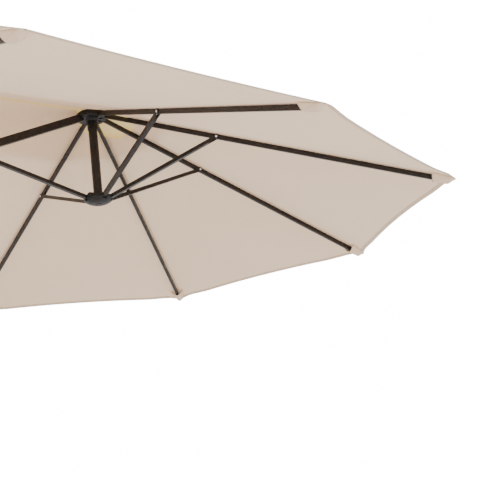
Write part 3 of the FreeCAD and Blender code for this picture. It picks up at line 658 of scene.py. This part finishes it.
def dome(radius, height, steps=6):
    """Outline of a rivet's or bolt's round head."""
    outline = [(0.0, 0.0), (radius, 0.0), (radius, height * 0.25)]
    for k in range(1, steps + 1):
        a = math.pi / 2 * k / steps
        outline.append((radius * math.cos(a), height * (0.25 + 0.75 * math.sin(a))))
    return outline


def fasten(piece, body):
    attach(piece, body)


def rivets():
    """Bright domed heads on both sides of every rib-to-strut joint."""
    bodies = ["rib_centre_near", "rib_centre_far"]
    bodies += [f"rib_{s}_{n}" for s, _ in SIDES for n, _ in HEAD_RIBS]
    for body in bodies:
        centre = pivot(body.replace("rib_", "strut_", 1) + "_swing")
        axis = Vector(JOINTS[fold_joint(body)]["axis"])
        for name, way in (("a", 1), ("b", -1)):
            place = centre + axis * (way * RIVET_FROM_MIDDLE)
            head = lathe(f"{body}_rivet_{name}", dome(0.0050, 0.0028), pin_steel, place, axis * way, steps=20)
            fasten(head, body)


def around(radius, z):
    """Four places between the arms of the cross."""
    for k in range(4):
        a = math.radians(45 + 90 * k)
        yield k, Vector((math.cos(a) * radius, math.sin(a) * radius, z))


def filler_caps():
    outline = [(0, 0), (0.034, 0), (0.034, 0.009), (0.031, 0.013), (0.014, 0.013), (0.012, 0.017), (0, 0.017)]
    for k, place in around(0.44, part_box("base_weights")[1].z - 0.001):
        fasten(lathe(f"filler_cap_{k}", outline, hub_plastic, place, steps=36), "root")


def flange_bolts():
    outline = [(0, 0), (0.012, 0), (0.012, 0.002), (0.009, 0.002), (0.009, 0.008), (0.007, 0.010), (0, 0.010)]
    flange_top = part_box("cross_bar_long")[1].z + FLANGE_THICK
    for k, place in around(0.075, flange_top - SUNK):
        bolt = lathe(f"flange_bolt_{k}", outline, pin_steel, place, steps=6, smooth=False)
        fasten(bolt, "root")


def clamp_bolts():
    low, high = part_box("arm_end_clamp")
    middle = (low + high) / 2
    for k, dz in enumerate((-0.03, 0.024)):
        for name, way in (("a", 1), ("b", -1)):
            place = Vector((middle.x + way * (high.x - middle.x - DOME_SUNK), middle.y, middle.z + dz))
            bolt = lathe(f"clamp_bolt_{k}{name}", dome(0.007, 0.005), pin_steel, place, (way, 0, 0), steps=18)
            fasten(bolt, "root")


def housing_screws():
    """One near each corner of the crank housing's lid."""
    low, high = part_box("crank_housing")
    corners = [(y, z) for z in (low.z + 0.012, high.z - 0.012) for y in (low.y + 0.016, high.y - 0.016)]
    for k, (y, z) in enumerate(corners):
        place = Vector((high.x - DOME_SUNK, y, z))
        screw = lathe(f"housing_screw_{k}", dome(0.0045, 0.002), pin_steel, place, (1, 0, 0), steps=16)
        fasten(screw, "root")


# ------------------------------------------------------------------ stage, light and camera
SKY = 1.8                 # strength of the light from all round
BACKDROP = 16.0           # and of the white that the camera sees behind the canopy
FLOOR_SIZE = 600
CAMERA_PLACE = (-0.928, -5.016, 0.815)
CAMERA_AZIMUTH = 36.87    # from +Y towards +X, degrees
CAMERA_ELEVATION = 14.87
CAMERA_ROLL = -6.85
CAMERA_LENS = 77.5


def add_stage():
    bpy.ops.mesh.primitive_plane_add(size=FLOOR_SIZE, location=(0, 0, -0.0005))
    floor = bpy.context.object
    floor.name = "studio_floor"
    made, tree = material("studio_floor")
    place = node(tree, "ShaderNodeTexCoord").outputs["Object"]
    tone = ramp(tree, noise(tree, place, 2.0), [(0.3, (0.86, 0.86, 0.86)), (0.7, (0.89, 0.89, 0.89))])
    shader = node(tree, "ShaderNodeBsdfPrincipled", {"Base Color": tone, "Roughness": 0.9}).outputs[0]
    finish_material(tree, shader)
    floor.data.materials.append(made)


def add_sky():
    world = bpy.data.worlds.new("studio")
    bpy.context.scene.world = world
    world.use_nodes = True
    tree = world.node_tree
    tree.nodes.clear()
    soft = node(tree, "ShaderNodeBackground", {"Color": (1, 1, 1, 1), "Strength": SKY}).outputs[0]
    backdrop = node(tree, "ShaderNodeBackground", {"Color": (1, 1, 1, 1), "Strength": BACKDROP}).outputs[0]
    seen = node(tree, "ShaderNodeLightPath").outputs["Is Camera Ray"]
    sky = node(tree, "ShaderNodeMixShader", {"Fac": seen, 1: soft, 2: backdrop}).outputs[0]
    node(tree, "ShaderNodeOutputWorld", {"Surface": sky})


def add_light(name, place, target, size, power):
    data = bpy.data.lights.new(name, "AREA")
    data.energy = power
    data.size = size
    lamp = bpy.data.objects.new(name, data)
    bpy.context.scene.collection.objects.link(lamp)
    lamp.location = place
    lamp.rotation_mode = "QUATERNION"
    lamp.rotation_quaternion = (Vector(target) - Vector(place)).to_track_quat("-Z", "Y")


def add_camera():
    """Below the near side, looking up under the right-hand head."""
    azimuth = math.radians(CAMERA_AZIMUTH)
    elevation = math.radians(CAMERA_ELEVATION)
    roll = math.radians(CAMERA_ROLL)
    forward = Vector((math.sin(azimuth) * math.cos(elevation), math.cos(azimuth) * math.cos(elevation),
                      math.sin(elevation)))
    right = forward.cross(Vector((0, 0, 1))).normalized()
    up = right.cross(forward)
    rolled_right = right * math.cos(roll) + up * math.sin(roll)
    rolled_up = up * math.cos(roll) - right * math.sin(roll)
    data = bpy.data.cameras.new("camera")
    data.lens = CAMERA_LENS
    camera = bpy.data.objects.new("camera", data)
    bpy.context.scene.collection.objects.link(camera)
    turn = Matrix((rolled_right, rolled_up, -forward)).transposed()
    camera.matrix_world = Matrix.Translation(CAMERA_PLACE) @ turn.to_4x4()
    bpy.context.scene.camera = camera


add_camera()
dress_cad_nodes()
for side_name, side in SIDES:
    head_pieces(side_name, side)
middle_pieces("near", -1)
middle_pieces("far", 1)
cap_pieces()
rivets()
filler_caps()
flange_bolts()
clamp_bolts()
housing_screws()
add_stage()
add_sky()
add_light("key", (-4.0, -7.0, 5.5), (0, -1.6, 1.8), 4.0, 350)
